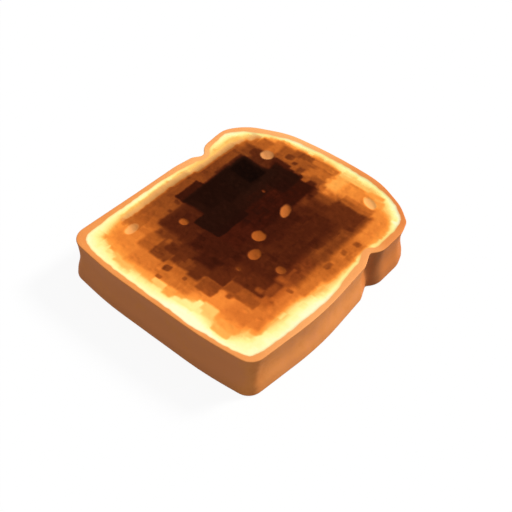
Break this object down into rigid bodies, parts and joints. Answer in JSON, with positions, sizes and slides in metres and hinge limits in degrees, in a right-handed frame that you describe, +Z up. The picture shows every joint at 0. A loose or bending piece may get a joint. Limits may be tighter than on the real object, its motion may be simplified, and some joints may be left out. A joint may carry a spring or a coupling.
{
  "type": "burnt toast",
  "caption": "Thick square-sided slice of tin-loaf toast with a domed top, raised crust rim and scorched, slightly dished crumb, lying flat.",
  "frame": {"origin": "centre of the slice's bounding box, on the surface that it rests on", "axes": "+X across the slice, +Y towards the domed top of the loaf, +Z up out of the scorched cut face"},
  "size_m": [0.1106, 0.1238, 0.021],
  "materials": {
    "toasted_bread": "dry, matte, open-pored toasted crumb with a smoother baked crust"
  },
  "bodies": {
    "root": {"toast": "toasted_bread"}
  },
  "joints": []
}
